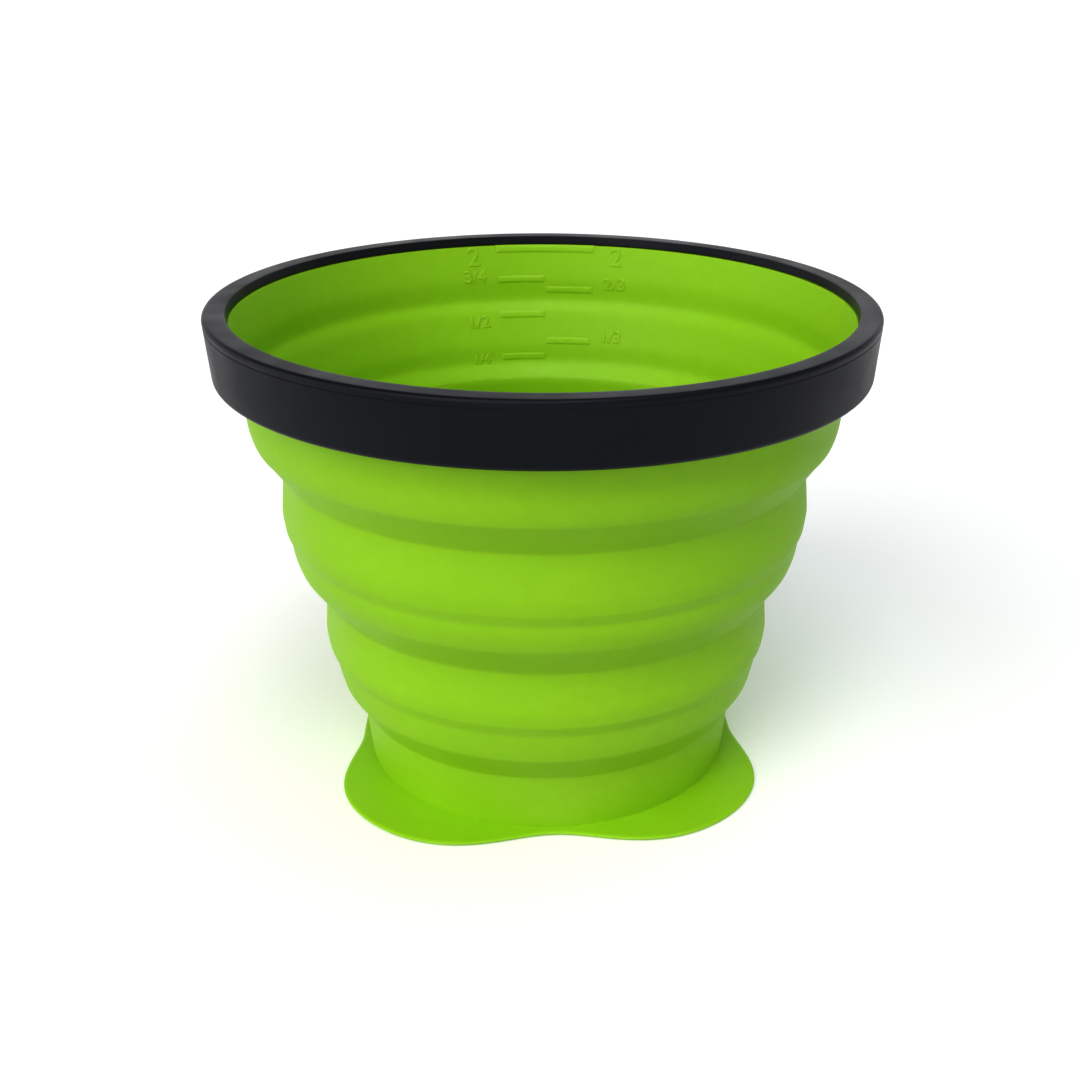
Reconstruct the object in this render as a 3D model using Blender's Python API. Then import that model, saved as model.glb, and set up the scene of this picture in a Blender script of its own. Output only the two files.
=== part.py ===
"""Collapsible silicone measuring cup with a rigid rim, standing on a four-lobed foot.

Axis +Z, origin at the centre of the underside, front towards -Y, all lengths in metres.
The moulded silicone is cut into the zones that move against each other when the cup folds:
three stiff wall sections, the three thin folds that join them, the base and the foot.
"""

import math

import bmesh
import bpy
from mathutils import Vector

MM = 0.001
TURN_STEPS = 72
MERGE_DISTANCE = 0.002 * MM
SMOOTH_ANGLE = math.radians(35.0)

# Overall
CUP_HEIGHT = 86.0 * MM
JOINT_GAP = 0.3 * MM

# Rigid rim: a C-shaped ring that holds the bead at the top of the silicone
RIM_RADIUS = 57.5 * MM
RIM_HEIGHT = 10.8 * MM
RIM_TAPER = 0.7 * MM
RIM_MOUTH_RADIUS = 53.7 * MM
RIM_LIP_RADIUS = 53.35 * MM
RIM_WALL = 2.1 * MM
RIM_LIP = 1.4 * MM
RIM_EDGE_ROUND = 1.2 * MM
RIM_FOOT_ROUND = 1.0 * MM

# Silicone inside the rim: its mouth, and its neck where it leaves the rim
MOUTH_RADIUS = 53.25 * MM
NECK_RADIUS = 52.6 * MM
NECK_WALL = 0.85 * MM
NECK_TOP = 77.5 * MM

# Folds, from the top down: outer radius and height of each inner corner, and how far
# the stiff ring above it stands out and up from that corner
FOLD_CORNERS = ((46.6 * MM, 58.4 * MM), (40.7 * MM, 34.7 * MM), (35.1 * MM, 11.4 * MM))
FOLD_REACHES = ((3.8 * MM, 6.2 * MM), (3.85 * MM, 5.3 * MM), (3.05 * MM, 4.65 * MM))
FOLD_WALL = 1.1 * MM
FOLD_BEND_RISE = 3.0 * MM
FOLD_BEND_INSET = 2.7 * MM

# Steps in the stiff rings: how far out from the ring's lower outer edge, and how far up
# from the corner below it. The outer steps differ from ring to ring, the inner ones do not
OUTER_STEP_TOPS = ((2.05 * MM, 15.6 * MM), (2.35 * MM, 13.6 * MM), (2.65 * MM, 13.6 * MM))
OUTER_STEP_FEET = ((1.65 * MM, 12.3 * MM), (1.55 * MM, 11.2 * MM), (1.75 * MM, 11.2 * MM))
INNER_STEP_TOP = (1.2 * MM, 14.9 * MM)
INNER_STEP_FOOT = (-0.1 * MM, 13.0 * MM)
RING_FOOT_INSET = 2.3 * MM
RING_BELLY = 0.55 * MM

# Thin band below each corner
BAND_BULGE = 0.6 * MM
BAND_BULGE_DROP = 8.0 * MM

# Base and foot
BASE_FOOT_RADIUS = 34.1 * MM
BASE_WALL = 1.15 * MM
FLOOR_TOP = 2.7 * MM
FLOOR_ROUND = 1.5 * MM
FOOT_THICKNESS = 0.7 * MM
FOOT_MEAN_RADIUS = 40.85 * MM
FOOT_LOBE = 4.35 * MM
FOOT_LOBE_FLAT = 0.6 * MM
FOOT_LOBES = 4
FOOT_TURN = math.radians(1.7)
REAR_LOBE_PINCH = 0.5

# Moulded scale on the inside of the back wall: label, side, heights of the middles of
# the bar and of the figures, and the figures' height
BAR_HEIGHT = 1.4 * MM
BAR_HALF_ANGLE = math.radians(11.0)
HALF_BAR_STEPS = 3
MARK_PROUD = 0.4 * MM
MARK_ROOT = 0.3 * MM
FIGURE_ANGLE = math.radians(16.0)
FONT_SIZE_PER_HEIGHT = 1.4
FRACTION_NARROWING = 0.7
BACK = math.radians(90.0)
LEFT, BOTH, RIGHT = 1, 0, -1
WALL_SCALE = (
    ("2", BOTH, 83.5 * MM, 82.2 * MM, 3.9 * MM),
    ("3/4", LEFT, 77.7 * MM, 78.2 * MM, 3.0 * MM),
    ("2/3", RIGHT, 75.5 * MM, 76.8 * MM, 3.0 * MM),
    ("1/2", LEFT, 70.8 * MM, 69.3 * MM, 2.8 * MM),
    ("1/3", RIGHT, 65.6 * MM, 66.8 * MM, 2.8 * MM),
)
FOLD_SCALE = (("1/4", LEFT, 62.5 * MM, 62.3 * MM, 2.2 * MM),)


def clear_scene():
    for item in list(bpy.data.objects):
        bpy.data.objects.remove(item, do_unlink=True)


def material(name, colour, roughness, specular=0.5):
    made = bpy.data.materials.new(name)
    made.use_nodes = True
    shader = made.node_tree.nodes["Principled BSDF"]
    shader.inputs["Base Color"].default_value = (*colour, 1.0)
    shader.inputs["Roughness"].default_value = roughness
    shader.inputs["Metallic"].default_value = 0.0
    shader.inputs["Specular IOR Level"].default_value = specular
    return made


def add_object(name, shape, finish):
    """Links a bmesh as a smooth-shaded object that keeps its hard edges."""
    mesh = bpy.data.meshes.new(name)
    shape.to_mesh(mesh)
    shape.free()
    mesh.shade_smooth()
    mesh.set_sharp_from_angle(angle=SMOOTH_ANGLE)
    mesh.materials.append(finish)
    made = bpy.data.objects.new(name, mesh)
    bpy.context.collection.objects.link(made)
    return made


def turned(name, section, finish):
    """Spins a closed (radius, height) section about Z into one solid."""
    shape = bmesh.new()
    points = [shape.verts.new((radius, 0.0, height)) for radius, height in section]
    edges = [shape.edges.new((a, b)) for a, b in zip(points, points[1:] + points[:1])]
    bmesh.ops.spin(
        shape,
        geom=points + edges,
        cent=(0.0, 0.0, 0.0),
        axis=(0.0, 0.0, 1.0),
        angle=math.tau,
        steps=TURN_STEPS,
        use_merge=True,
    )
    bmesh.ops.remove_doubles(shape, verts=shape.verts, dist=MERGE_DISTANCE)
    bmesh.ops.recalc_face_normals(shape, faces=shape.faces)
    return add_object(name, shape, finish)


def arc(centre, radius, start_deg, end_deg, steps):
    """Points on an arc in the (radius, height) plane, both ends included."""
    angles = [math.radians(start_deg + (end_deg - start_deg) * i / steps) for i in range(steps + 1)]
    return [(centre[0] + radius * math.cos(a), centre[1] + radius * math.sin(a)) for a in angles]


def between(lower, upper, height):
    """Radius at a height on the straight line through two (radius, height) points."""
    share = (height - lower[1]) / (upper[1] - lower[1])
    return lower[0] + (upper[0] - lower[0]) * share


def ring_edge(index):
    """Lower outer edge of a stiff ring."""
    corner, reach = FOLD_CORNERS[index], FOLD_REACHES[index]
    return (corner[0] + reach[0], corner[1] + reach[1])


def beside_ring(index, offset):
    """A point out from a ring's lower edge and up from the corner below it."""
    return (ring_edge(index)[0] + offset[0], FOLD_CORNERS[index][1] + offset[1])


def ring_outside(index):
    """Outside of a stiff ring from its step down to its lower edge."""
    edge = ring_edge(index)
    step_foot = beside_ring(index, OUTER_STEP_FEET[index])
    middle = ((step_foot[0] + edge[0]) / 2 + RING_BELLY, (step_foot[1] + edge[1]) / 2)
    return [beside_ring(index, OUTER_STEP_TOPS[index]), step_foot, middle, edge]


def ring_inside(index):
    """Inside of a stiff ring from its lower edge up to its step."""
    radius, height = ring_edge(index)
    return [
        (radius - RING_FOOT_INSET, height),
        beside_ring(index, INNER_STEP_FOOT),
        beside_ring(index, INNER_STEP_TOP),
    ]


def band_outside(index):
    """Outside of the thin band that hangs from a corner, from the corner down to its bulge."""
    radius, height = FOLD_CORNERS[index]
    return [
        (radius, height),
        (radius + BAND_BULGE / 2, height - BAND_BULGE_DROP / 2),
        (radius + BAND_BULGE, height - BAND_BULGE_DROP),
    ]


def rim_ring(finish):
    foot = CUP_HEIGHT - RIM_HEIGHT
    foot_radius = RIM_RADIUS - RIM_TAPER
    channel_top = CUP_HEIGHT - RIM_LIP
    shelf_radius = NECK_RADIUS + JOINT_GAP
    section = [(RIM_MOUTH_RADIUS, CUP_HEIGHT)]
    section += arc((RIM_RADIUS - RIM_EDGE_ROUND, CUP_HEIGHT - RIM_EDGE_ROUND), RIM_EDGE_ROUND, 90, 0, 3)
    section += arc((foot_radius - RIM_FOOT_ROUND, foot + RIM_FOOT_ROUND), RIM_FOOT_ROUND, 0, -90, 2)
    section += [
        (shelf_radius, foot),
        (shelf_radius, foot + RIM_LIP),
        (foot_radius - RIM_WALL / 2, foot + RIM_LIP),
        (RIM_RADIUS - RIM_WALL, channel_top),
        (RIM_LIP_RADIUS, channel_top),
    ]
    return turned("rim_ring", section, finish)


def upper_wall(finish):
    """Bead held by the rim, the mouth's thin wall and the first stiff ring."""
    bead_top = CUP_HEIGHT - RIM_LIP - JOINT_GAP
    bead_foot = CUP_HEIGHT - RIM_HEIGHT + RIM_LIP + JOINT_GAP
    section = [
        (MOUTH_RADIUS, bead_top),
        (RIM_RADIUS - RIM_WALL - JOINT_GAP, bead_top),
        (RIM_RADIUS - RIM_TAPER - RIM_WALL / 2 - JOINT_GAP, bead_foot),
        (NECK_RADIUS, bead_foot),
    ]
    section += ring_outside(0) + ring_inside(0)
    section += [(NECK_RADIUS - NECK_WALL, NECK_TOP)]
    return turned("upper_wall", section, finish)


def folding_wall(name, index, finish):
    """A thin band below one corner and the stiff ring above the next."""
    radius, height = FOLD_CORNERS[index - 1]
    section = band_outside(index - 1) + ring_outside(index) + ring_inside(index)
    section += [(radius - FOLD_WALL, height)]
    return turned(name, section, finish)


def fold(name, index, finish):
    """The thin web from a stiff ring in to the corner below it."""
    corner, edge = FOLD_CORNERS[index], ring_edge(index)
    bend = (edge[0] - FOLD_BEND_INSET, corner[1] + FOLD_BEND_RISE)
    top, foot = edge[1] - JOINT_GAP, corner[1] + JOINT_GAP
    section = [
        (between(corner, edge, top), top),
        (between(corner, edge, foot), foot),
        (between((corner[0] - FOLD_WALL, corner[1]), bend, foot), foot),
        bend,
        (edge[0] - RING_FOOT_INSET, top),
    ]
    return turned(name, section, finish)


def base_cup(finish):
    """Lowest wall and the floor of the cup."""
    radius, height = FOLD_CORNERS[-1]
    underside = FOOT_THICKNESS + JOINT_GAP
    corner = (BASE_FOOT_RADIUS - BASE_WALL - FLOOR_ROUND, FLOOR_TOP + FLOOR_ROUND)
    section = [
        (0.0, FLOOR_TOP),
        *arc(corner, FLOOR_ROUND, -90, 0, 3),
        (radius - FOLD_WALL, height),
        (radius, height),
        (BASE_FOOT_RADIUS, underside),
        (0.0, underside),
    ]
    return turned("base_cup", section, finish)


def foot_radius_at(angle):
    """The lobed outline; the two lobes at the back are narrower than the front ones."""
    swing = FOOT_LOBES * (angle - FOOT_TURN)
    if math.sin(angle - FOOT_TURN) > 0.0:
        swing -= REAR_LOBE_PINCH * math.sin(swing)
    return FOOT_MEAN_RADIUS - FOOT_LOBE * math.cos(swing) - FOOT_LOBE_FLAT * math.cos(2 * swing)


def foot_flange(finish):
    """Flat plate with four lobes that spreads the foot and gives the fingers a hold."""
    shape = bmesh.new()
    outline = []
    for step in range(TURN_STEPS):
        angle = math.tau * step / TURN_STEPS
        radius = foot_radius_at(angle)
        outline.append(shape.verts.new((radius * math.cos(angle), radius * math.sin(angle), 0.0)))
    plate = shape.faces.new(outline)
    raised = bmesh.ops.extrude_face_region(shape, geom=[plate])
    top = [item for item in raised["geom"] if isinstance(item, bmesh.types.BMVert)]
    bmesh.ops.translate(shape, verts=top, vec=(0.0, 0.0, FOOT_THICKNESS))
    bmesh.ops.recalc_face_normals(shape, faces=shape.faces)
    return add_object("foot_flange", shape, finish)


def wall_radius(height):
    """Inner radius of the upper wall and fold at a height."""
    bend = (ring_edge(0)[0] - FOLD_BEND_INSET, FOLD_CORNERS[0][1] + FOLD_BEND_RISE)
    neck, mouth = (NECK_RADIUS - NECK_WALL, NECK_TOP), (MOUTH_RADIUS, CUP_HEIGHT - RIM_LIP - JOINT_GAP)
    line = [bend] + ring_inside(0) + [neck, mouth]
    for lower, upper in zip(line, line[1:]):
        if height <= upper[1]:
            return between(lower, upper, height)
    return line[-1][0]


def on_wall(angle, height, proud):
    radius = wall_radius(height) - proud
    return Vector((radius * math.cos(angle), radius * math.sin(angle), height))


def add_bar(shape, side, middle):
    """A raised bar that follows the wall round and is rooted in it."""
    start = BACK - BAR_HALF_ANGLE if side != LEFT else BACK
    end = BACK + BAR_HALF_ANGLE if side != RIGHT else BACK
    steps = 2 * HALF_BAR_STEPS if side == BOTH else HALF_BAR_STEPS
    foot, head = middle - BAR_HEIGHT / 2, middle + BAR_HEIGHT / 2
    rings = []
    for step in range(steps + 1):
        angle = start + (end - start) * step / steps
        corners = [(foot, -MARK_ROOT), (head, -MARK_ROOT), (head, MARK_PROUD), (foot, MARK_PROUD)]
        rings.append([shape.verts.new(on_wall(angle, height, proud)) for height, proud in corners])
    for near, far in zip(rings, rings[1:]):
        for k in range(4):
            shape.faces.new((near[k], near[k - 1], far[k - 1], far[k]))
    shape.faces.new(rings[0])
    shape.faces.new(rings[-1][::-1])


def add_figures(shape, label, side, middle, size):
    """Extruded figures, laid on the wall beside the bar's end and rooted in it."""
    curve = bpy.data.curves.new(label, "FONT")
    curve.body = label
    curve.size = size * FONT_SIZE_PER_HEIGHT
    curve.align_x = "CENTER"
    curve.align_y = "CENTER"
    curve.resolution_u = 2
    curve.extrude = (MARK_PROUD + MARK_ROOT) / 2
    text = bpy.data.objects.new(label, curve)
    bpy.context.collection.objects.link(text)
    figures = bpy.data.meshes.new_from_object(text)
    bpy.data.objects.remove(text, do_unlink=True)
    narrowing = FRACTION_NARROWING if "/" in label else 1.0
    radius = wall_radius(middle)
    for vertex in figures.vertices:
        across, up, depth = vertex.co
        angle = BACK + side * FIGURE_ANGLE - across * narrowing / radius
        vertex.co = on_wall(angle, middle + up, depth + (MARK_PROUD - MARK_ROOT) / 2)
    shape.from_mesh(figures)
    bpy.data.meshes.remove(figures)


def raise_scale(wall, name, marks, finish):
    """Joins a scale's bars and figures to the inside of a wall."""
    shape = bmesh.new()
    for label, side, bar_middle, figure_middle, size in marks:
        add_bar(shape, side, bar_middle)
        for place in (LEFT, RIGHT) if side == BOTH else (side,):
            add_figures(shape, label, place, figure_middle, size)
    bmesh.ops.remove_doubles(shape, verts=shape.verts, dist=MERGE_DISTANCE)
    bmesh.ops.recalc_face_normals(shape, faces=shape.faces)
    guide = add_object(name, shape, finish)
    guide.hide_render = True
    guide.display_type = "WIRE"
    joined = wall.modifiers.new("raised_scale", "BOOLEAN")
    joined.operation = "UNION"
    joined.solver = "EXACT"
    joined.object = guide


def build():
    clear_scene()
    plastic = material("rim_plastic", (0.018, 0.019, 0.022), 0.45)
    silicone = material("silicone", (0.23, 0.56, 0.015), 0.5, 0.4)
    rim_ring(plastic)
    raise_scale(upper_wall(silicone), "wall_scale_guide", WALL_SCALE, silicone)
    raise_scale(fold("upper_fold", 0, silicone), "fold_scale_guide", FOLD_SCALE, silicone)
    folding_wall("middle_wall", 1, silicone)
    fold("middle_fold", 1, silicone)
    folding_wall("lower_wall", 2, silicone)
    fold("lower_fold", 2, silicone)
    base_cup(silicone)
    foot_flange(silicone)


build()
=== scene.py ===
"""Looks of the collapsible silicone measuring cup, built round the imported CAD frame.

All lengths are in metres, in the frame's own axes: +Z up, front towards -Y.
"""

import math

import bmesh
import bpy
import numpy as np
from mathutils import Matrix, Vector


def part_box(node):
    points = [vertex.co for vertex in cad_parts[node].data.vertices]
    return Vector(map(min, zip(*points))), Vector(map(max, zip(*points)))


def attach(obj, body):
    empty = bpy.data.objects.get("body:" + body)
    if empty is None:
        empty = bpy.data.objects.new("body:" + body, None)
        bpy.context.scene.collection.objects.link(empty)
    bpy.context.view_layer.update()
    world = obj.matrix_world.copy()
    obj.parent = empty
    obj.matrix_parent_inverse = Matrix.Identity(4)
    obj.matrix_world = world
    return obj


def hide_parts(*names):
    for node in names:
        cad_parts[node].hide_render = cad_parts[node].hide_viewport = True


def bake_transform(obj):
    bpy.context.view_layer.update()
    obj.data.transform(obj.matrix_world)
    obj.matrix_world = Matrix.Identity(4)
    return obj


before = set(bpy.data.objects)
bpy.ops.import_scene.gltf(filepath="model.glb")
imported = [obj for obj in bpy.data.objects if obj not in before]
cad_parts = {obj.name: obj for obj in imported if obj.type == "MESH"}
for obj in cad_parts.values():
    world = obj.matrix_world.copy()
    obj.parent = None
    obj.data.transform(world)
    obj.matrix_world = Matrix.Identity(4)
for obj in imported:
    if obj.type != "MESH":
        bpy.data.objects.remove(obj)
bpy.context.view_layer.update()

MM = 0.001
TURN_STEPS = 192

# ---------------------------------------------------------------- sizes read from the frame

RIM_LOW, RIM_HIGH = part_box("rim_ring")
CUP_TOP = RIM_HIGH.z
RIM_FOOT = RIM_LOW.z
RIM_RADIUS = RIM_HIGH.x
BAND_BULGE = 0.6 * MM
FOOT_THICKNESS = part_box("foot_flange")[1].z


def wall_corner(node, bulge):
    """Outer (radius, height) of the corner at the top of a wall section."""
    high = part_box(node)[1]
    return np.array((high.x - bulge, high.z))


CORNERS = (
    wall_corner("middle_wall", BAND_BULGE),
    wall_corner("lower_wall", BAND_BULGE),
    wall_corner("base_cup", 0.0),
)

# ---------------------------------------------------------------- sizes of the moulded detail

# How far each stiff ring's lower edge stands out and up from the corner below it, as in the CAD
REACHES = ((3.8 * MM, 6.2 * MM), (3.85 * MM, 5.3 * MM), (3.05 * MM, 4.65 * MM))
FOLD_WALL = 1.1 * MM
INNER_CORNER_DROP = 0.2 * MM
# Where the inside of a fold bends: out from the ring's lower edge, up from the corner
FOLD_BEND = (-2.7 * MM, 3.0 * MM)
RING_FOOT_INSET = 2.3 * MM

# Steps and face of each ring's outside: out from its lower edge, up from the corner below it
OUTER_STEP_TOPS = ((2.05 * MM, 15.4 * MM), (2.37 * MM, 13.1 * MM), (2.67 * MM, 13.1 * MM))
OUTER_STEP_FEET = ((1.60 * MM, 12.5 * MM), (1.48 * MM, 11.0 * MM), (1.66 * MM, 11.0 * MM))
OUTER_FACE = (1.30 * MM, 8.8 * MM)
# Where the outside turns in towards each corner, out and up from that corner, and how far
# out and up from there the ring's shoulder is
TURN_INS = ((3.5 * MM, 4.95 * MM), REACHES[1], REACHES[2])
SHOULDERS = ((0.88 * MM, 1.2 * MM), (0.55 * MM, 1.0 * MM), (0.55 * MM, 1.0 * MM))
# Step of each ring's inside: out from its lower edge, up from the corner below it
INNER_STEP_TOP = (1.2 * MM, 14.9 * MM)
INNER_STEP_FOOT = (-0.1 * MM, 13.0 * MM)

# Thin bands: how far each stands out of its corner, and how far below it
BAND_SHAPES = (
    ((0.05 * MM, 2.0 * MM), (0.35 * MM, 5.0 * MM), (0.62 * MM, 8.0 * MM)),
    ((0.0, 2.0 * MM), (0.2 * MM, 5.0 * MM), (0.42 * MM, 7.8 * MM)),
)

MOUTH_RADIUS = 53.25 * MM
NECK_RADIUS = 52.6 * MM
NECK_INSIDE = (51.75 * MM, 77.5 * MM)
BEAD_RADIUS = 55.0 * MM
BEAD_TAPER = 0.4 * MM
RIM_LIP = 1.4 * MM
BEAD_GAP = 0.3 * MM
BEAD_TOP = CUP_TOP - RIM_LIP - BEAD_GAP
BEAD_FOOT = RIM_FOOT + RIM_LIP + BEAD_GAP

BASE_FOOT_RADIUS = 34.1 * MM
BASE_WALL = 1.15 * MM
FLOOR_TOP = 2.7 * MM
FLOOR_ROUND = 1.2 * MM
INNER_END_INSET = 8 * MM
FOOT_MEAN_RADIUS = 40.85 * MM
FOOT_LOBE = 4.35 * MM
FOOT_LOBE_FLAT = 0.6 * MM
FOOT_LOBES = 4
FOOT_TURN = math.radians(1.7)
REAR_LOBE_PINCH = 0.5
FOOT_EDGE = 0.75 * MM

RIM_MOUTH_RADIUS = 53.7 * MM
RIM_LIP_RADIUS = 53.35 * MM
RIM_TAPER = 0.7 * MM
RIM_WALL = 2.1 * MM
RIM_EDGE_ROUND = 0.75 * MM
RIM_EDGE_DEGREES = 12
RIM_FOOT_ROUND = 1.0 * MM
# The parting line round the rim: its depth, how far it is below the top and in from the
# rim's side, and how far its upper edge is in and its lower edge out from it
PARTING_DEPTH = 0.05 * MM
PARTING_DROP = 1.4 * MM
PARTING_INSET = 0.02 * MM
PARTING_UPPER_IN = 0.03 * MM
PARTING_LOWER_OUT = 0.04 * MM
# Inner edge of the rim's top: out from the mouth, down from the top
MOUTH_EDGE = ((-0.08 * MM, 0.35 * MM), (0.0, 0.06 * MM), (0.3 * MM, 0.0))
# Inner edge of the rim's foot: out from the shelf round the neck, up from the foot
SHELF_GAP = 0.12 * MM
SHELF_EDGE = ((0.3 * MM, 0.0), (0.08 * MM, 0.08 * MM), (0.0, 0.3 * MM))

# Outlines are drawn with points this far apart, and their corners are softened this much
DENSE = 0.05 * MM
OUTER_SOFTNESS = 0.27 * MM
INNER_SOFTNESS = 0.6 * MM
RIM_SOFTNESS = 0.06 * MM
CURVE_STEPS = 12
ROUND_STEPS = 8
# Rings of points on the foot plate, as shares of the way out to its edge
PLATE_TOP_SHARES = (0.1, 0.3, 0.5, 0.7, 0.85, 0.95, 1.0)
PLATE_UNDER_SHARES = (1.0, 0.9, 0.6, 0.3, 0.1)


# ---------------------------------------------------------------- outlines


def spaced(points, step):
    """The line through some points, with points at an even step along it."""
    points = np.asarray(points, float)
    runs = np.linalg.norm(np.diff(points, axis=0), axis=1)
    along = np.concatenate(([0.0], np.cumsum(runs)))
    count = max(2, int(round(along[-1] / step)) + 1)
    places = np.linspace(0.0, along[-1], count)
    return np.stack([np.interp(places, along, points[:, k]) for k in range(2)], axis=1)


def curve_through(points):
    """A smooth curve through (radius, height) points, as a Catmull-Rom spline."""
    points = np.asarray(points, float)
    padded = np.vstack([2 * points[0] - points[1], points, 2 * points[-1] - points[-2]])
    made = []
    for a, b, c, d in zip(padded, padded[1:], padded[2:], padded[3:]):
        slope = c - a
        bend = 2 * a - 5 * b + 4 * c - d
        twist = 3 * b - a - 3 * c + d
        for t in np.linspace(0.0, 1.0, CURVE_STEPS, endpoint=False):
            made.append(0.5 * (2 * b + slope * t + bend * t**2 + twist * t**3))
    made.append(points[-1])
    return made


def softened(points, width):
    """Rounds the corners of an evenly spaced line with a bell-shaped average."""
    reach = int(3 * width / DENSE)
    bell = np.exp(-0.5 * (np.arange(-reach, reach + 1) * DENSE / width) ** 2)
    bell /= bell.sum()
    head = 2 * points[0] - points[reach:0:-1]
    tail = 2 * points[-1] - points[-2 : -reach - 2 : -1]
    long = np.vstack([head, points, tail])
    return np.stack([np.convolve(long[:, k], bell, mode="valid") for k in range(2)], axis=1)


def thinned(points, coarse, fine, turn):
    """Keeps points at least fine apart, and up to coarse apart where the line is straight."""
    kept = [points[0]]
    heading = None
    for before, here in zip(points, points[1:]):
        step = here - before
        angle = math.atan2(step[1], step[0])
        heading = angle if heading is None else heading
        gone = np.linalg.norm(here - kept[-1])
        bent = abs((angle - heading + math.pi) % math.tau - math.pi)
        if gone >= coarse or (gone >= fine and bent >= turn):
            kept.append(here)
            heading = angle
    if np.linalg.norm(kept[-1] - points[-1]) < fine / 2:
        kept.pop()
    kept.append(points[-1])
    return np.array(kept)


def ring_edge(index):
    """Lower outer edge of a stiff ring, as in the CAD."""
    return CORNERS[index] + np.array(REACHES[index])


def beside_ring(index, offset):
    """A point out from a ring's lower edge and up from the corner below it."""
    return np.array((ring_edge(index)[0] + offset[0], CORNERS[index][1] + offset[1]))


def ring_face(index):
    """Outside of a stiff ring below its step, down to where it turns in to the corner."""
    foot, face = beside_ring(index, OUTER_STEP_FEET[index]), beside_ring(index, OUTER_FACE)
    turn_in = CORNERS[index] + np.array(TURN_INS[index])
    return curve_through([foot, face, turn_in + np.array(SHOULDERS[index]), turn_in])


def whole_outside():
    """Outside of the silicone from the rim down to the foot."""
    line = [(NECK_RADIUS, BEAD_FOOT), (NECK_RADIUS, RIM_FOOT)]
    for index, corner in enumerate(CORNERS):
        line.append(beside_ring(index, OUTER_STEP_TOPS[index]))
        line += ring_face(index)
        line.append(corner)
        if index < len(CORNERS) - 1:
            band = [corner + np.array((out, -down)) for out, down in BAND_SHAPES[index]]
            line += curve_through([corner] + band)[1:]
    line.append((BASE_FOOT_RADIUS, FOOT_THICKNESS))
    return softened(spaced(line, DENSE), OUTER_SOFTNESS)


def inner_corner(index):
    """Point inside the wall that faces a corner of the outside."""
    return CORNERS[index] - np.array((FOLD_WALL, INNER_CORNER_DROP))


def whole_inside():
    """Inside of the silicone from the mouth down to the edge of the floor."""
    line = [(MOUTH_RADIUS, BEAD_TOP), NECK_INSIDE]
    for index in range(len(CORNERS)):
        line.append(beside_ring(index, INNER_STEP_TOP))
        line.append(beside_ring(index, INNER_STEP_FOOT))
        line.append(ring_edge(index) - np.array((RING_FOOT_INSET, 0.0)))
        line.append(beside_ring(index, FOLD_BEND))
        line.append(inner_corner(index))
    line.append((BASE_FOOT_RADIUS - BASE_WALL, FLOOR_TOP + FLOOR_ROUND))
    line.append((BASE_FOOT_RADIUS - BASE_WALL - FLOOR_ROUND, FLOOR_TOP))
    line.append((BASE_FOOT_RADIUS - INNER_END_INSET, FLOOR_TOP))
    return softened(spaced(line, DENSE), INNER_SOFTNESS)


OUTSIDE = whole_outside()
INSIDE = whole_inside()


def nearest(line, point):
    """Number of the line's point that is nearest to a place."""
    return int(np.argmin(np.linalg.norm(line - point, axis=1)))


OUTER_CUTS = [nearest(OUTSIDE, corner) for corner in CORNERS]
INNER_CUTS = [nearest(INSIDE, inner_corner(index)) for index in range(len(CORNERS))]


def wall_radius(height):
    """Inner radius of the silicone at a height, from the mouth down to the first corner."""
    stretch = INSIDE[: INNER_CUTS[0]][::-1]
    return float(np.interp(height, stretch[:, 1], stretch[:, 0]))


# ---------------------------------------------------------------- meshes


def finished(name, shape, finish, sharp_deg=40.0):
    """Turns a bmesh into a linked, smooth-shaded piece with one material."""
    bmesh.ops.recalc_face_normals(shape, faces=shape.faces)
    mesh = bpy.data.meshes.new(name)
    shape.to_mesh(mesh)
    shape.free()
    mesh.shade_smooth()
    mesh.set_sharp_from_angle(angle=math.radians(sharp_deg))
    mesh.materials.append(finish)
    piece = bpy.data.objects.new(name, mesh)
    bpy.context.collection.objects.link(piece)
    return piece


def ring_of(shape, radius_at, height):
    """One closed ring of vertices; radius_at gives the radius for each angle."""
    made = []
    for step in range(TURN_STEPS):
        angle = math.tau * step / TURN_STEPS
        radius = radius_at(angle)
        made.append(shape.verts.new((radius * math.cos(angle), radius * math.sin(angle), height)))
    return made


def skin(shape, rings, closed):
    """Faces between neighbouring rings, and between the last and the first if closed."""
    pairs = list(zip(rings, rings[1:]))
    if closed:
        pairs.append((rings[-1], rings[0]))
    for upper, lower in pairs:
        for k in range(TURN_STEPS):
            shape.faces.new((upper[k - 1], upper[k], lower[k], lower[k - 1]))


def turned(name, section, finish):
    """A closed (radius, height) section spun about Z."""
    shape = bmesh.new()
    rings = [ring_of(shape, lambda _, r=r: r, z) for r, z in section]
    skin(shape, rings, closed=True)
    return finished(name, shape, finish)


def fill_disc(shape, ring, height):
    """Closes a ring with triangles to a point on the axis."""
    centre = shape.verts.new((0.0, 0.0, height))
    for k in range(TURN_STEPS):
        shape.faces.new((ring[k - 1], ring[k], centre))


def thin(line):
    """Keeps the points of a silicone outline that its curves need."""
    return thinned(line, coarse=0.9 * MM, fine=0.12 * MM, turn=math.radians(5.0))


def folding_piece(name, number, finish):
    """Silicone between two corners; the first one starts at the bead inside the rim."""
    outer_from = OUTER_CUTS[number - 1] if number else 0
    inner_from = INNER_CUTS[number - 1] if number else 0
    outer = thin(OUTSIDE[outer_from : OUTER_CUTS[number] + 1])
    inner = thin(INSIDE[inner_from : INNER_CUTS[number] + 1])
    section = list(outer) + list(inner[::-1])
    if number == 0:
        section += [(BEAD_RADIUS, BEAD_TOP), (BEAD_RADIUS - BEAD_TAPER, BEAD_FOOT)]
    return turned(name, section, finish)


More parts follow.
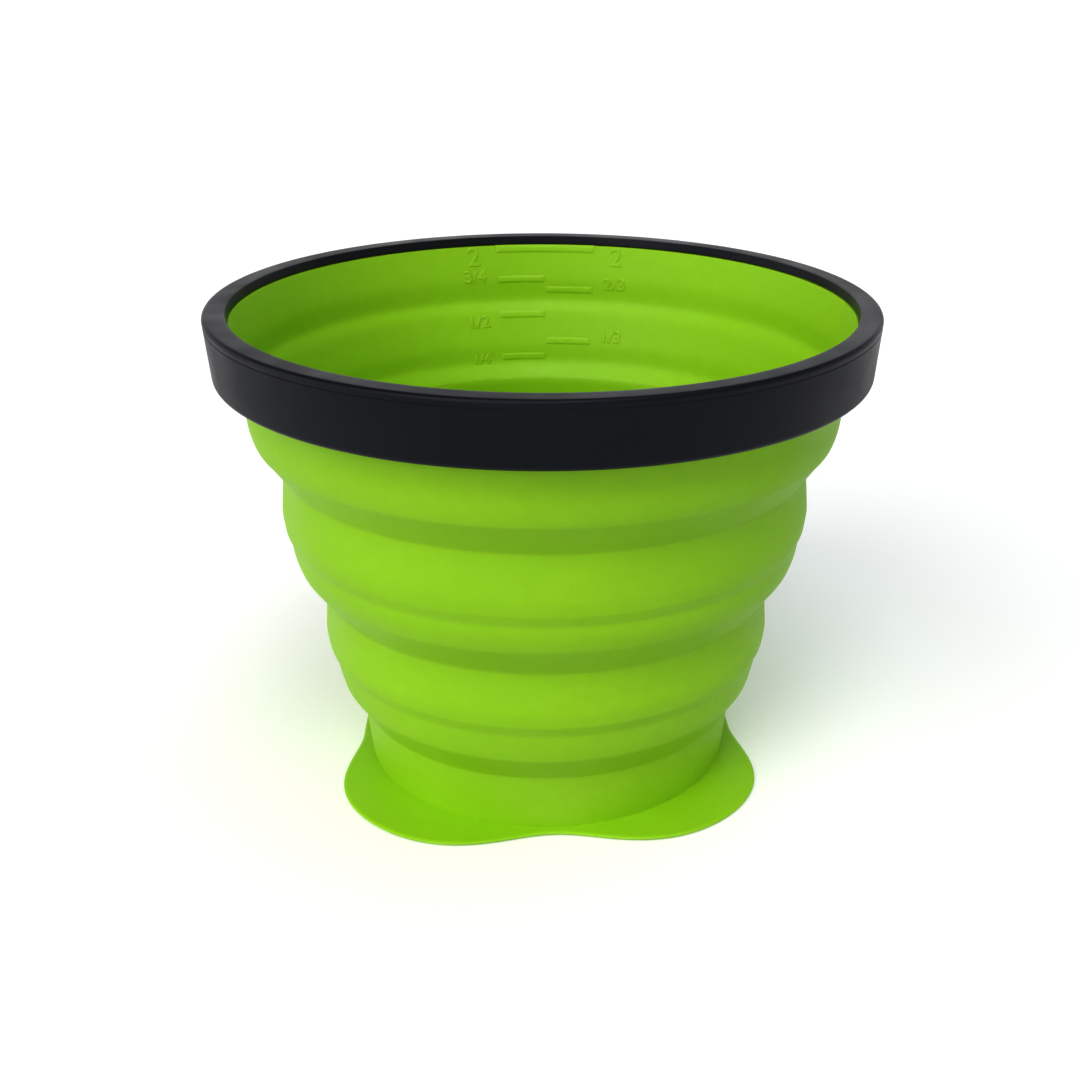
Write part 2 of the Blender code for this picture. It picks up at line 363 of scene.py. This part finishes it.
def foot_radius_at(angle):
    """The lobed outline; the two lobes at the back are narrower than the front ones."""
    swing = FOOT_LOBES * (angle - FOOT_TURN)
    if math.sin(angle - FOOT_TURN) > 0.0:
        swing -= REAR_LOBE_PINCH * math.sin(swing)
    return FOOT_MEAN_RADIUS - FOOT_LOBE * math.cos(swing) - FOOT_LOBE_FLAT * math.cos(2 * swing)


def base_piece(finish):
    """Lowest wall, floor and lobed foot, all in one."""
    shape = bmesh.new()
    inner = thin(INSIDE[INNER_CUTS[-1] :])[::-1]
    outer = thin(OUTSIDE[OUTER_CUTS[-1] :])
    rings = [ring_of(shape, lambda _, r=r: r, z) for r, z in inner]
    fill_disc(shape, rings[0], float(inner[0][1]))
    rings += [ring_of(shape, lambda _, r=r: r, z) for r, z in outer]
    start = outer[-1][0]

    def spread(share, inset):
        return lambda angle: start + (foot_radius_at(angle) - inset - start) * share

    for share in PLATE_TOP_SHARES:
        rings.append(ring_of(shape, spread(share, FOOT_EDGE), FOOT_THICKNESS))
    for step in range(1, ROUND_STEPS):
        swing = math.pi * step / ROUND_STEPS
        inset = FOOT_EDGE * (1 - math.sin(swing))
        height = FOOT_THICKNESS / 2 * (1 + math.cos(swing))
        rings.append(ring_of(shape, spread(1.0, inset), height))
    for share in PLATE_UNDER_SHARES:
        rings.append(ring_of(shape, lambda a, s=share: (foot_radius_at(a) - FOOT_EDGE) * s, 0.0))
    skin(shape, rings, closed=False)
    fill_disc(shape, rings[-1], 0.0)
    return finished("silicone_base", shape, finish)


def rim_top(parting, below_parting):
    """From the lip over the flat top and its round edge to just below the parting line."""
    line = [(RIM_LIP_RADIUS, CUP_TOP - RIM_LIP)]
    line += [(RIM_MOUTH_RADIUS + out, CUP_TOP - down) for out, down in MOUTH_EDGE]
    line.append((RIM_RADIUS - RIM_EDGE_ROUND, CUP_TOP))
    for step in range(1, ROUND_STEPS):
        swing = math.radians(90 - RIM_EDGE_DEGREES * step)
        across = RIM_EDGE_ROUND * (1 - math.cos(swing))
        down = RIM_EDGE_ROUND * (1 - math.sin(swing))
        line.append((RIM_RADIUS - across, CUP_TOP - down))
    line.append((parting[0] - PARTING_UPPER_IN, parting[1] + PARTING_DEPTH))
    line.append((parting[0] - PARTING_DEPTH, parting[1]))
    line.append(below_parting)
    line = softened(spaced(line, DENSE / 2), RIM_SOFTNESS)
    return thinned(line, coarse=0.5 * MM, fine=0.04 * MM, turn=math.radians(6.0))


def rim_piece(finish):
    """The rigid ring: flat top, rounded edges, a parting line and a lip over the bead."""
    foot_radius = RIM_RADIUS - RIM_TAPER
    slope = RIM_TAPER / (CUP_TOP - RIM_FOOT)
    parting = (RIM_RADIUS - PARTING_INSET - slope * PARTING_DROP, CUP_TOP - PARTING_DROP)
    below_parting = (parting[0] + PARTING_LOWER_OUT, parting[1] - PARTING_DEPTH)
    wall = spaced([below_parting, (foot_radius, RIM_FOOT + RIM_FOOT_ROUND)], 1.2 * MM)
    foot = []
    for swing in np.linspace(0.0, math.pi / 2, ROUND_STEPS)[1:]:
        across = RIM_FOOT_ROUND * (1 - math.cos(swing))
        up = RIM_FOOT_ROUND * (1 - math.sin(swing))
        foot.append((foot_radius - across, RIM_FOOT + up))
    shelf = NECK_RADIUS + SHELF_GAP
    under = [(shelf + out, RIM_FOOT + up) for out, up in SHELF_EDGE]
    under.append((shelf, RIM_FOOT + RIM_LIP))
    under.append((foot_radius - RIM_WALL / 2, RIM_FOOT + RIM_LIP))
    under.append((RIM_RADIUS - RIM_WALL, CUP_TOP - RIM_LIP))
    section = list(rim_top(parting, below_parting)) + list(wall[1:]) + foot + under
    return turned("cup_rim", section, finish)


# ---------------------------------------------------------------- raised scale

BACK = math.radians(90.0)
# Sides of the back wall as seen from the front, as signs of the turn about Z
LEFT, BOTH, RIGHT = 1, 0, -1
BAR_HEIGHT = 1.6 * MM
BAR_HALF_ANGLE = math.radians(11.0)
BAR_STEPS = 12
BAR_STEPS_FROM = 1 * MM
MARK_PROUD = 0.14 * MM
MARK_ROOT = 0.25 * MM
MARK_ROUND = 0.50 * MM
FIGURE_PROUD = 0.11 * MM
FIGURE_BEVEL = 0.15 * MM
FIGURE_ANGLE = math.radians(16.0)
FONT_SIZE_PER_HEIGHT = 1.4
FRACTION_WIDENING = 1.12
# label, side, heights of the middles of the bar and of the figures, the figures' height
WALL_SCALE = (
    ("2", BOTH, 83.6 * MM, 82.15 * MM, 3.65 * MM),
    ("3/4", LEFT, 77.7 * MM, 78.3 * MM, 2.4 * MM),
    ("2/3", RIGHT, 75.5 * MM, 76.8 * MM, 2.4 * MM),
    ("1/2", LEFT, 70.8 * MM, 69.5 * MM, 2.3 * MM),
    ("1/3", RIGHT, 65.6 * MM, 66.6 * MM, 2.3 * MM),
)
FOLD_SCALE = (("1/4", LEFT, 62.5 * MM, 62.2 * MM, 1.9 * MM),)


def on_wall(angle, height, proud):
    """A point on the inside of the wall, or proud of it towards the axis."""
    radius = wall_radius(height) - proud
    return Vector((radius * math.cos(angle), radius * math.sin(angle), height))


def pillow(distance):
    """Height of a mark at a distance in from its edge: a soft shoulder, then flat."""
    share = min(max(distance / MARK_ROUND, 0.0), 1.0)
    return MARK_PROUD * share * share * (3 - 2 * share)


def border(columns):
    """The vertices round the edge of a grid, in order."""
    feet = [column[0] for column in columns]
    heads = [column[-1] for column in columns[-2::-1]]
    return feet + columns[-1][1:] + heads + columns[0][-2:0:-1]


def add_bar(shape, side, middle):
    """A raised bar with rounded shoulders, rooted in the wall."""
    start = BACK - BAR_HALF_ANGLE if side != LEFT else BACK
    end = BACK + BAR_HALF_ANGLE if side != RIGHT else BACK
    length = (end - start) * wall_radius(middle)
    steps = 2 * BAR_STEPS if side == BOTH else BAR_STEPS
    ease = MARK_ROUND * np.linspace(0.0, 1.0, ROUND_STEPS)
    middle_part = np.linspace(BAR_STEPS_FROM, length - BAR_STEPS_FROM, steps)
    along = np.concatenate((ease, middle_part, length - ease[::-1]))
    up = np.concatenate((ease, [BAR_HEIGHT / 2], BAR_HEIGHT - ease[::-1]))
    top, root = [], []
    for s in along:
        angle = start + s / wall_radius(middle)
        from_end = min(s, length - s)
        column, below = [], []
        for h in up:
            height = middle - BAR_HEIGHT / 2 + h
            rise = min(pillow(from_end), pillow(min(h, BAR_HEIGHT - h)))
            column.append(shape.verts.new(on_wall(angle, height, rise)))
            below.append(shape.verts.new(on_wall(angle, height, -MARK_ROOT)))
        top.append(column)
        root.append(below)
    for sheet in (top, root):
        for a, b in zip(sheet, sheet[1:]):
            for k in range(len(up) - 1):
                shape.faces.new((a[k], a[k + 1], b[k + 1], b[k]))
    above, beneath = border(top), border(root)
    for k in range(len(above)):
        shape.faces.new((above[k - 1], above[k], beneath[k], beneath[k - 1]))


def add_figures(shape, label, side, middle, size):
    """Raised figures with rounded edges, laid on the wall and rooted in it."""
    curve = bpy.data.curves.new(label, "FONT")
    curve.body = label
    curve.size = size * FONT_SIZE_PER_HEIGHT
    curve.align_x = "CENTER"
    curve.align_y = "CENTER"
    curve.resolution_u = 6
    curve.bevel_depth = FIGURE_BEVEL
    curve.bevel_resolution = 3
    curve.extrude = (FIGURE_PROUD + MARK_ROOT) / 2 - FIGURE_BEVEL
    text = bpy.data.objects.new(label, curve)
    bpy.context.collection.objects.link(text)
    figures = bpy.data.meshes.new_from_object(text)
    bpy.data.objects.remove(text, do_unlink=True)
    widening = FRACTION_WIDENING if "/" in label else 1.0
    radius = wall_radius(middle)
    for vertex in figures.vertices:
        across, up, depth = vertex.co
        angle = BACK + side * FIGURE_ANGLE - across * widening / radius
        vertex.co = on_wall(angle, middle + up, depth + (FIGURE_PROUD - MARK_ROOT) / 2)
    shape.from_mesh(figures)
    bpy.data.meshes.remove(figures)


def scale_piece(name, marks, finish):
    """One closed mesh with a scale's bars and figures."""
    shape = bmesh.new()
    for label, side, bar_middle, figure_middle, size in marks:
        add_bar(shape, side, bar_middle)
        for place in (LEFT, RIGHT) if side == BOTH else (side,):
            add_figures(shape, label, place, figure_middle, size)
    bmesh.ops.remove_doubles(shape, verts=shape.verts, dist=0.002 * MM)
    return finished(name, shape, finish, sharp_deg=60.0)


# ---------------------------------------------------------------- materials


class Nodes:
    """Adds and links shader nodes with short calls."""

    def __init__(self, name):
        self.material = bpy.data.materials.new(name)
        self.material.use_nodes = True
        self.tree = self.material.node_tree
        self.shader = self.tree.nodes["Principled BSDF"]
        self.place = self.add("ShaderNodeTexCoord").outputs["Object"]

    def add(self, kind, **inputs):
        node = self.tree.nodes.new(kind)
        for name, value in inputs.items():
            self.give(node.inputs[name.replace("_", " ")], value)
        return node

    def give(self, socket, value):
        """Links another node's output to a socket, or sets its value."""
        if isinstance(value, bpy.types.NodeSocket):
            self.tree.links.new(value, socket)
        else:
            socket.default_value = value

    def noise(self, scale, detail=2.0):
        node = self.add("ShaderNodeTexNoise", Scale=scale, Detail=detail)
        self.give(node.inputs["Vector"], self.place)
        return node.outputs["Fac"]

    def ramp(self, value, low, high, to_low=0.0, to_high=1.0):
        """Maps a value from one range to another with soft ends."""
        node = self.add("ShaderNodeMapRange")
        node.interpolation_type = "SMOOTHSTEP"
        names = ("Value", "From Min", "From Max", "To Min", "To Max")
        for name, given in zip(names, (value, low, high, to_low, to_high)):
            self.give(node.inputs[name], given)
        return node.outputs["Result"]

    def mix(self, share, one, two):
        node = self.add("ShaderNodeMix")
        node.data_type = "RGBA"
        colour_a, colour_b, colour_out = node.inputs[6], node.inputs[7], node.outputs[2]
        self.give(node.inputs["Factor"], share)
        self.give(colour_a, one)
        self.give(colour_b, two)
        return colour_out

    def maths(self, operation, one, two=0.0):
        node = self.add("ShaderNodeMath")
        node.operation = operation
        self.give(node.inputs[0], one)
        self.give(node.inputs[1], two)
        return node.outputs[0]

    def specks(self, scale, size, keep):
        """Small round dots, kept where a random number per dot is over keep."""
        cells = self.add("ShaderNodeTexVoronoi", Scale=scale)
        self.give(cells.inputs["Vector"], self.place)
        dot = self.ramp(cells.outputs["Distance"], size * 0.6, size, 1.0, 0.0)
        picker = self.add("ShaderNodeSeparateColor")
        self.give(picker.inputs[0], cells.outputs["Color"])
        chosen = self.maths("GREATER_THAN", picker.outputs[0], keep)
        return self.maths("MULTIPLY", dot, chosen)

    def bump(self, height, strength, distance, onto=None):
        node = self.add("ShaderNodeBump", Strength=strength, Distance=distance)
        self.give(node.inputs["Height"], height)
        if onto is not None:
            self.give(node.inputs["Normal"], onto)
        return node.outputs["Normal"]


GREEN_DEEP, GREEN_PALE = (0.308, 0.595, 0.0105, 1.0), (0.333, 0.625, 0.0135, 1.0)
GREEN_MOTTLE, GREEN_SPECK = (0.297, 0.578, 0.0100, 1.0), (0.04, 0.08, 0.005, 1.0)
CHARCOAL_DEEP, CHARCOAL_PALE = (0.0060, 0.0065, 0.0085, 1.0), (0.0083, 0.0089, 0.0116, 1.0)
DUST = (0.10, 0.10, 0.11, 1.0)
FLOOR_DIM, FLOOR_BRIGHT = (0.96, 0.96, 0.96, 1.0), (0.975, 0.975, 0.975, 1.0)


def silicone_material():
    """Soft matt green silicone: faint clouds and mottle, a few specks, a fine grain."""
    nodes = Nodes("silicone_green")
    shader = nodes.shader
    cloud = nodes.ramp(nodes.noise(scale=28.0, detail=3.0), 0.3, 0.7)
    colour = nodes.mix(cloud, GREEN_DEEP, GREEN_PALE)
    mottle = nodes.ramp(nodes.noise(scale=420.0), 0.35, 0.65, to_high=0.35)
    colour = nodes.mix(mottle, colour, GREEN_MOTTLE)
    specks = nodes.specks(scale=95.0, size=0.035, keep=0.93)
    colour = nodes.mix(nodes.maths("MULTIPLY", specks, 0.75), colour, GREEN_SPECK)
    nodes.give(shader.inputs["Base Color"], colour)
    haze = nodes.noise(scale=60.0, detail=4.0)
    nodes.give(shader.inputs["Roughness"], nodes.ramp(haze, 0.3, 0.7, to_low=0.46, to_high=0.58))
    shader.inputs["IOR"].default_value = 1.41
    shader.inputs["Specular IOR Level"].default_value = 0.42
    shader.inputs["Subsurface Weight"].default_value = 0.3
    shader.inputs["Subsurface Radius"].default_value = (0.5, 1.0, 0.1)
    shader.inputs["Subsurface Scale"].default_value = 0.0009
    grain = nodes.noise(scale=2600.0, detail=3.0)
    swell = nodes.bump(nodes.noise(scale=120.0), strength=0.05, distance=0.0006)
    normal = nodes.bump(grain, strength=0.10, distance=0.00008, onto=swell)
    nodes.give(shader.inputs["Normal"], normal)
    return nodes.material


def rim_material():
    """Charcoal plastic with a satin moulded surface and a little dust."""
    nodes = Nodes("rim_charcoal")
    shader = nodes.shader
    cloud = nodes.ramp(nodes.noise(scale=35.0, detail=3.0), 0.3, 0.7)
    colour = nodes.mix(cloud, CHARCOAL_DEEP, CHARCOAL_PALE)
    dust = nodes.specks(scale=150.0, size=0.05, keep=0.94)
    colour = nodes.mix(nodes.maths("MULTIPLY", dust, 0.35), colour, DUST)
    nodes.give(shader.inputs["Base Color"], colour)
    smear = nodes.noise(scale=70.0, detail=4.0)
    nodes.give(shader.inputs["Roughness"], nodes.ramp(smear, 0.3, 0.7, to_low=0.36, to_high=0.47))
    shader.inputs["IOR"].default_value = 1.5
    shader.inputs["Specular IOR Level"].default_value = 0.17
    shader.inputs["Specular Tint"].default_value = (0.92, 0.95, 1.15, 1.0)
    grain = nodes.noise(scale=2200.0)
    nodes.give(shader.inputs["Normal"], nodes.bump(grain, strength=0.12, distance=0.0001))
    return nodes.material


def floor_material():
    """Near-white matt paper that glows faintly."""
    nodes = Nodes("pale_floor")
    shader = nodes.shader
    shade = nodes.ramp(nodes.noise(scale=3.0), 0.3, 0.7)
    nodes.give(shader.inputs["Base Color"], nodes.mix(shade, FLOOR_DIM, FLOOR_BRIGHT))
    shader.inputs["Roughness"].default_value = 0.9
    shader.inputs["Specular IOR Level"].default_value = 0.1
    shader.inputs["Emission Color"].default_value = (1.0, 1.0, 1.0, 1.0)
    shader.inputs["Emission Strength"].default_value = 0.10
    return nodes.material


# ---------------------------------------------------------------- the cup

SILICONE = silicone_material()
PLASTIC = rim_material()

FOLDING = (
    ("silicone_upper", "rim_section", "middle_section", ("upper_wall", "upper_fold")),
    ("silicone_middle", "middle_section", "lower_section", ("middle_wall", "middle_fold")),
    ("silicone_lower", "lower_section", "base", ("lower_wall", "lower_fold")),
)


def bend_across(piece):
    """Bakes a piece's placement into its mesh."""
    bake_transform(piece)


for number, (name, upper, lower, cad_nodes) in enumerate(FOLDING):
    wall = folding_piece(name, number, SILICONE)
    bend_across(wall)
    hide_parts(*cad_nodes)

base = base_piece(SILICONE)
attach(base, "base")
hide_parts("base_cup", "foot_flange")

rim = rim_piece(PLASTIC)
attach(rim, "rim_section")
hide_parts("rim_ring")

wall_scale = scale_piece("raised_scale", WALL_SCALE, SILICONE)
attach(wall_scale, "rim_section")
fold_scale = scale_piece("raised_scale_fold", FOLD_SCALE, SILICONE)
bend_across(fold_scale)

# ---------------------------------------------------------------- stage, light and camera


# Where the camera stands, its lens shift as a share of the frame, and the floor's clearance
EYE = Vector((0.0, -246.5 * MM, 145.7 * MM))
FRAME_SHIFT = 1 / 18
FLOOR_DROP = 0.1 * MM
WHITE, COOL = (1.0, 1.0, 1.0), (0.86, 0.98, 1.10)
# World: sine of the elevation, strength and tint of each band, from below to overhead
WORLD_BANDS = ((-0.06, 0.46, COOL), (-0.01, 0.73, WHITE), (0.20, 0.69, WHITE), (0.48, 0.06, COOL))


def add_floor():
    """A wide flat disc just below the foot."""
    shape = bmesh.new()
    bmesh.ops.create_circle(shape, cap_ends=True, radius=6.0, segments=96)
    floor = finished("floor", shape, floor_material())
    floor.location.z = -FLOOR_DROP
    # It throws no diffuse light onto the cup; the world's lowest band does that instead
    floor.visible_diffuse = False


def add_light(name, turn, rise, width, strength, colour=(1.0, 1.0, 1.0)):
    """Distant soft light; turn is degrees from the front, to the right, and rise is elevation."""
    lamp = bpy.data.lights.new(name, "SUN")
    lamp.color = colour
    lamp.angle = math.radians(width)
    lamp.energy = strength
    turn, rise = math.radians(turn), math.radians(rise)
    flat = math.cos(rise)
    towards = Vector((math.sin(turn) * flat, -math.cos(turn) * flat, math.sin(rise)))
    holder = bpy.data.objects.new(name, lamp)
    holder.rotation_euler = towards.to_track_quat("Z", "Y").to_euler()
    bpy.context.collection.objects.link(holder)


def add_world():
    """White band round the horizon, dimmer and cooler overhead and below."""
    world = bpy.data.worlds.new("studio")
    world.use_nodes = True
    tree = world.node_tree
    way = tree.nodes.new("ShaderNodeTexCoord")
    axes = tree.nodes.new("ShaderNodeSeparateXYZ")
    height = tree.nodes.new("ShaderNodeMapRange")
    height.inputs["From Min"].default_value = -1.0
    bands = tree.nodes.new("ShaderNodeValToRGB")
    bands.color_ramp.interpolation = "EASE"
    for stop, (sine, strength, tint) in enumerate(WORLD_BANDS):
        if stop > 1:
            bands.color_ramp.elements.new(1.0)
        mark = bands.color_ramp.elements[stop]
        mark.position = (sine + 1) / 2
        mark.color = (*[strength * share for share in tint], 1.0)
    tree.links.new(way.outputs["Generated"], axes.inputs[0])
    tree.links.new(axes.outputs["Z"], height.inputs["Value"])
    tree.links.new(height.outputs["Result"], bands.inputs["Fac"])
    tree.links.new(bands.outputs["Color"], tree.nodes["Background"].inputs["Color"])
    bpy.context.scene.world = world


def add_camera():
    """A quarter of a metre in front of the cup's axis, looking down into the cup."""
    pitch, yaw, roll = math.radians(25.39), math.radians(2.33), math.radians(0.67)
    flat = math.cos(pitch)
    ahead = Vector((math.sin(yaw) * flat, math.cos(yaw) * flat, -math.sin(pitch)))
    level = Vector((math.cos(yaw), -math.sin(yaw), 0.0))
    above = level.cross(ahead)
    right = math.cos(roll) * level + math.sin(roll) * above
    up = math.cos(roll) * above - math.sin(roll) * level
    eye = bpy.data.cameras.new("camera")
    eye.lens = 48.07
    eye.sensor_width = 36.0
    eye.shift_x = -FRAME_SHIFT
    eye.shift_y = FRAME_SHIFT
    eye.clip_start = 0.01
    holder = bpy.data.objects.new("camera", eye)
    turn = Matrix((right, up, -ahead)).transposed().to_4x4()
    holder.matrix_world = Matrix.Translation(EYE) @ turn
    bpy.context.collection.objects.link(holder)
    bpy.context.scene.camera = holder


add_floor()
add_world()
add_light("key", turn=-40, rise=36, width=40, strength=1.01, colour=(1.06, 1.0, 0.94))
add_light("front_top", turn=0, rise=58, width=30, strength=0.80)
add_light("left_edge", turn=-90, rise=10, width=40, strength=0.36)
add_light("back_low", turn=180, rise=15, width=50, strength=0.22)
add_light("right_fill", turn=80, rise=76, width=40, strength=0.40, colour=(0.94, 1.0, 1.04))
add_camera()

# Display with a little more contrast than plain sRGB, like a camera's own curve
bpy.context.scene.view_settings.view_transform = "Standard"
bpy.context.scene.view_settings.exposure = 0.5
bpy.context.scene.view_settings.gamma = 0.8
